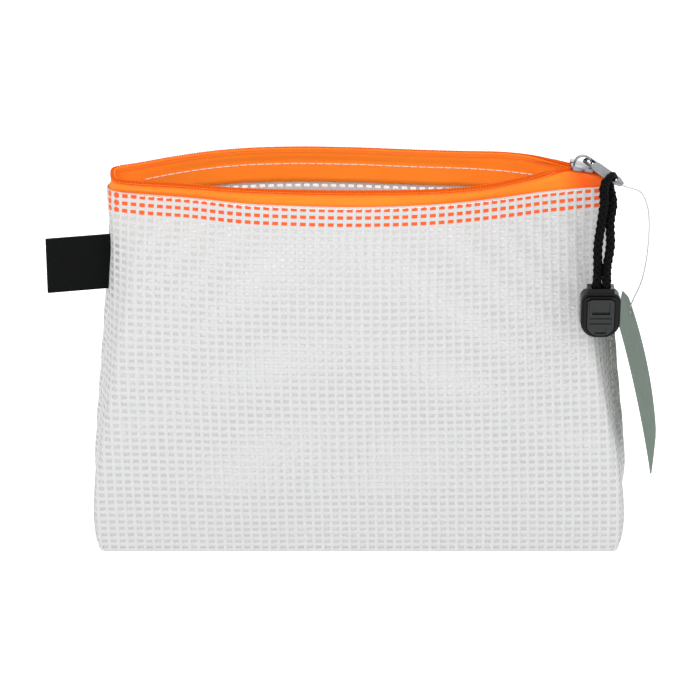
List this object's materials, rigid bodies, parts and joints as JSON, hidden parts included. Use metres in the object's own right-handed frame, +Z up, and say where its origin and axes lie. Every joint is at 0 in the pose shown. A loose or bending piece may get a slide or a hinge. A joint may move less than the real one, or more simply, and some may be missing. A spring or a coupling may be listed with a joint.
{
  "type": "zipper pouch",
  "caption": "Open-mouthed standing pouch of clear vinyl with a woven grid, coil zip, slider with pull cord, seam label and hang tag.",
  "frame": {"origin": "middle of the flat base, on the surface that the pouch stands on", "axes": "+X along the mouth to the zip's closed end, +Y to the back wall, +Z up"},
  "size_m": [0.2099, 0.0492, 0.1347],
  "materials": {
    "grid_vinyl": "clear vinyl film over a white woven grid",
    "zip_tape": "woven polyester tape",
    "zip_coil": "nylon coil",
    "plated_zinc": "die cast and nickel plated",
    "braided_cord": "braided polyester",
    "moulded_plastic": "satin moulded",
    "label_weave": "woven, bare",
    "tag_card": "uncoated card, bare",
    "nylon_filament": "clear monofilament"
  },
  "bodies": {
    "pouch": {"front_panel": "grid_vinyl", "back_panel": "grid_vinyl", "base_panel": "grid_vinyl", "left_seam_allowance": "grid_vinyl", "right_seam_allowance": "grid_vinyl", "front_zip_tape": "zip_tape", "back_zip_tape": "zip_tape", "front_zip_coil": "zip_coil", "back_zip_coil": "zip_coil", "woven_label": "label_weave"},
    "slider": {"zip_slider": "plated_zinc"},
    "tab": {"pull_tab": "plated_zinc"},
    "cord": {"pull_cord": "braided_cord", "cord_end_body": "moulded_plastic", "cord_end_lid": "moulded_plastic"},
    "tag": {"hang_tag": "tag_card"},
    "filament": {"tag_filament": "nylon_filament"}
  },
  "joints": [
    {"name": "slider_travel", "type": "slide", "parent": "pouch", "child": "slider", "axis": [-1, 0, 0], "range_m": [0, 0.146], "deforming": ["front_panel", "back_panel", "left_seam_allowance", "right_seam_allowance", "front_zip_tape", "back_zip_tape", "front_zip_coil", "back_zip_coil", "pull_cord", "tag_filament"]},
    {"name": "tab_swing", "type": "hinge", "parent": "slider", "child": "tab", "pos_m": [0.0749, 0.0005, 0.13302], "axis": [-0.5736, -0.8192, 0], "range_deg": [0, 90], "deforming": ["pull_cord", "tag_filament"]},
    {"name": "cord_swing", "type": "hinge", "parent": "tab", "child": "cord", "pos_m": [0.08313, -0.00526, 0.12854], "axis": [-0.5736, -0.8192, 0], "range_deg": [-77, 0], "deforming": ["pull_cord"]},
    {"name": "tag_swing", "type": "hinge", "parent": "tab", "child": "filament", "pos_m": [0.08627, -0.00746, 0.12684], "axis": [-0.5736, -0.8192, 0], "range_deg": [-77, 0], "deforming": ["tag_filament"]},
    {"name": "tag_turn", "type": "hinge", "parent": "filament", "child": "tag", "pos_m": [0.08627, -0.00746, 0.12684], "axis": [0, 0, 1], "range_deg": [-101, 0], "deforming": ["tag_filament"]}
  ],
  "couplings": [
    {"joint": "cord_swing", "follows": "tab_swing", "ratio": -0.85},
    {"joint": "tag_swing", "follows": "tab_swing", "ratio": -0.85},
    {"joint": "tag_turn", "follows": "slider_travel", "rad_per_m": -11.775}
  ]
}
